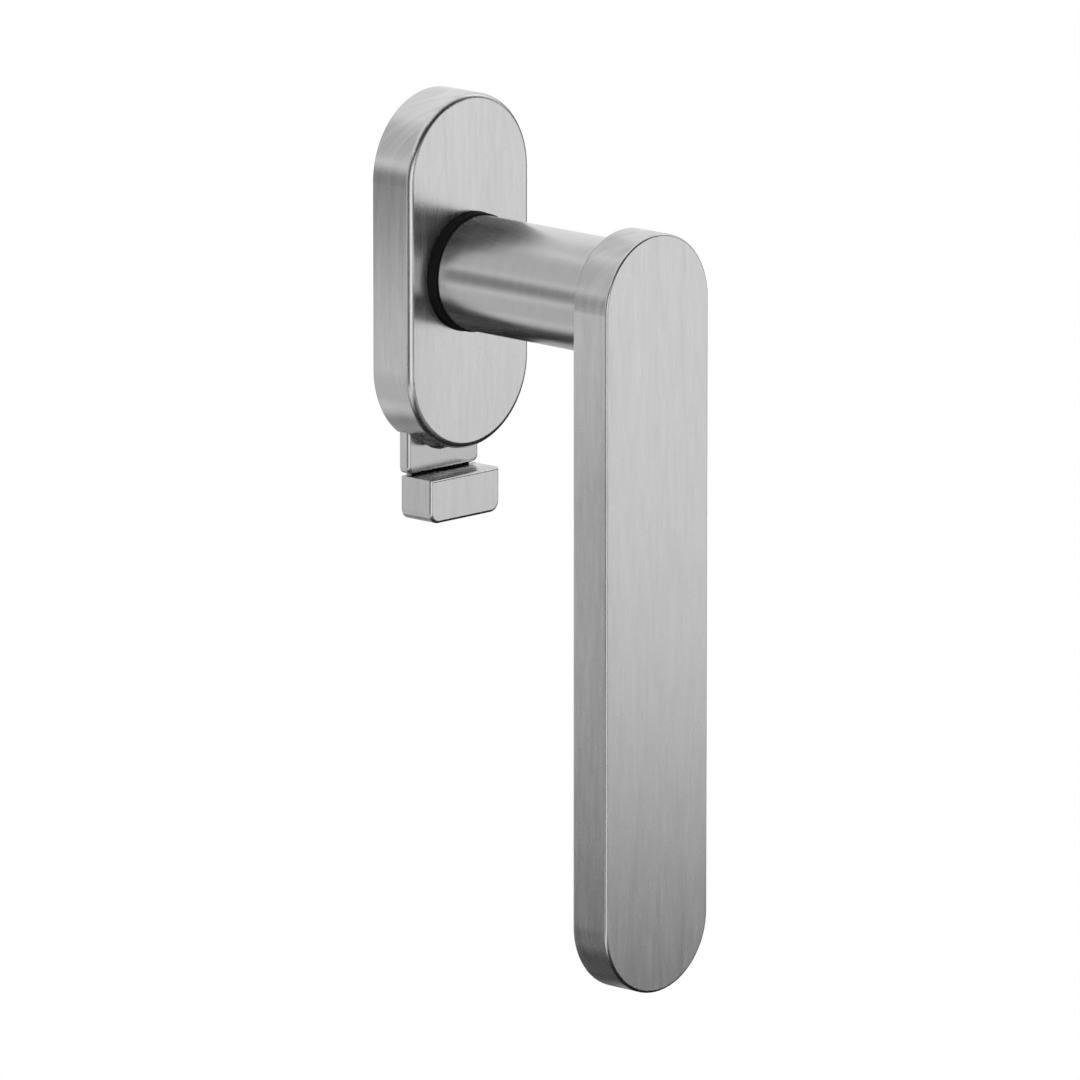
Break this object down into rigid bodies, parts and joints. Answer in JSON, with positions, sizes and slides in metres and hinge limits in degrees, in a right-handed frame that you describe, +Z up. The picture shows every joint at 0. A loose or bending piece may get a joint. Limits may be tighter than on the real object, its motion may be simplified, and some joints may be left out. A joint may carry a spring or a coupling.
{
  "type": "window handle",
  "caption": "Flat satin steel window handle on a round neck and a pill-shaped rosette, turning with click stops, with a sliding finger block that locks it from below.",
  "frame": {"origin": "where the turning axis meets the back plane of the rosette", "axes": "+Y into the window along the spindle, +Z up, the grip hangs down along -Z in the closed position"},
  "size_m": [0.0292, 0.0636, 0.1507],
  "materials": {
    "satin_steel": "satin stainless steel, brushed along its length",
    "turned_steel": "satin stainless steel, brushed round its axis",
    "plated_steel": "bright zinc-plated steel",
    "spring_steel": "rolled spring steel, blue-grey",
    "cast_zinc": "bare pressure-cast zinc, dull grey",
    "black_plastic": "moulded acetal, matt black"
  },
  "bodies": {
    "rosette": {"rosette_cover": "satin_steel", "base_plate": "cast_zinc", "backing_plate": "plated_steel", "bearing_bush": "black_plastic", "left_detent_spring": "spring_steel", "right_detent_spring": "spring_steel", "slider_spring": "spring_steel", "cover_screws": "plated_steel"},
    "handle": {"grip": "satin_steel", "neck": "turned_steel", "grip_stud": "plated_steel", "grip_dowel": "plated_steel", "spindle": "plated_steel", "spindle_pin": "spring_steel", "thrust_washer": "plated_steel", "retaining_ring": "spring_steel", "detent_cam": "plated_steel"},
    "slider": {"slider_plate": "satin_steel", "slider_block": "satin_steel", "slider_screws": "plated_steel"}
  },
  "joints": [
    {"name": "handle_turn", "type": "hinge", "parent": "rosette", "child": "handle", "pos_m": [0, 0, 0], "axis": [0, 1, 0], "continuous": true, "deforming": ["left_detent_spring", "right_detent_spring"]},
    {"name": "lock_slide", "type": "slide", "parent": "rosette", "child": "slider", "axis": [0, 0, 1], "range_m": [0, 0.004], "deforming": ["slider_spring"]}
  ]
}
